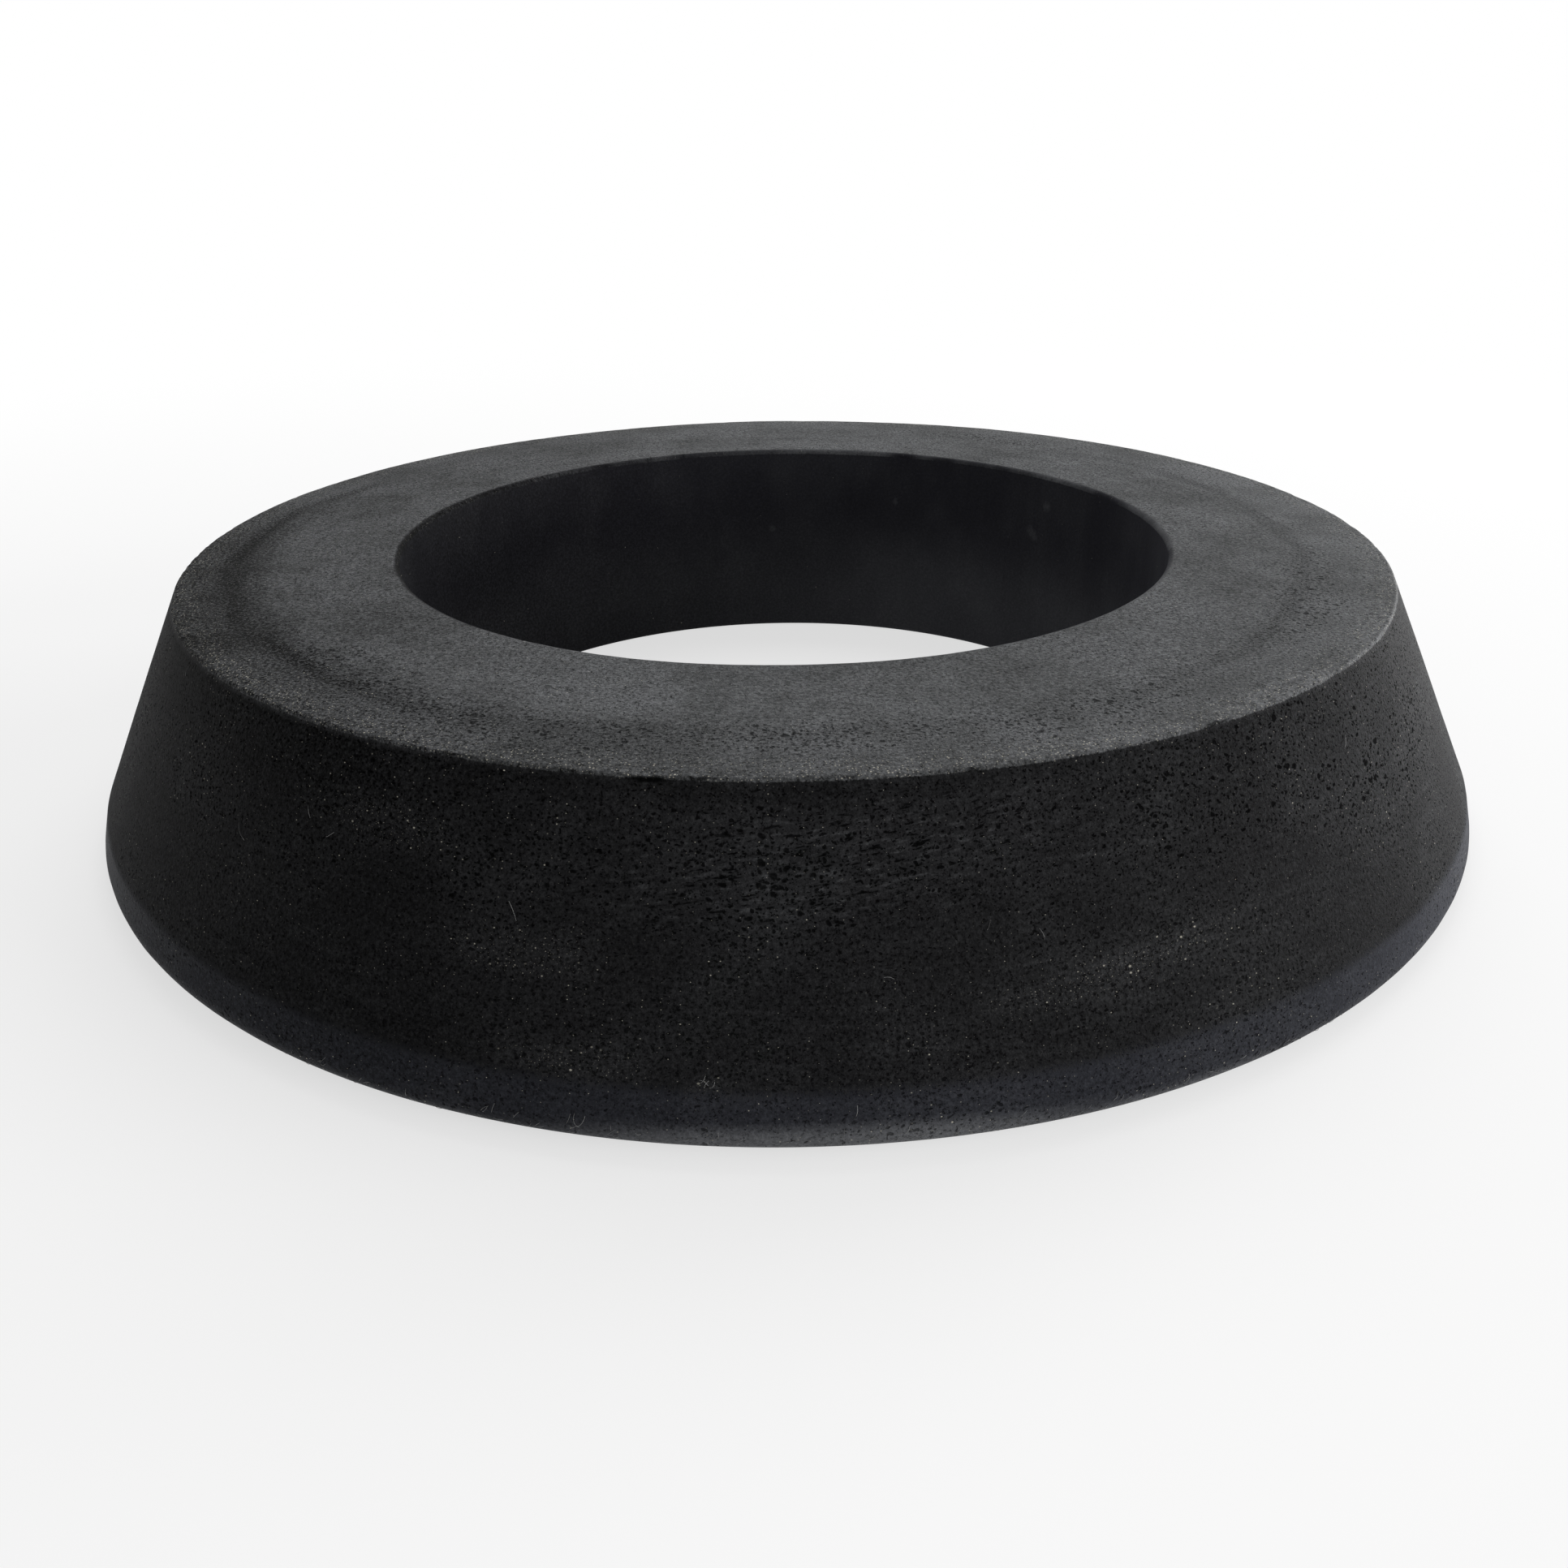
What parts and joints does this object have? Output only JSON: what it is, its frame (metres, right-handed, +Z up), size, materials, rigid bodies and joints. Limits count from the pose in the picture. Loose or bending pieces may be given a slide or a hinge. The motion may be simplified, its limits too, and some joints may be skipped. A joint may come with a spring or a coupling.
{
  "type": "flush valve gasket",
  "caption": "Tapered black rubber gasket ring for a toilet flush valve, with a straight bore, flat faces and a short steep band under the cone.",
  "frame": {"origin": "centre of the underside of the wide end, on the bore's axis", "axes": "+Z up the bore's axis, from the wide end to the narrow end; the ring is round, so +X and +Y are free"},
  "size_m": [0.0962, 0.0962, 0.0165],
  "materials": {
    "black_rubber": "matte, moulded, with fine pits and a dusty bloom"
  },
  "bodies": {
    "root": {"gasket_ring": "black_rubber"}
  },
  "joints": []
}
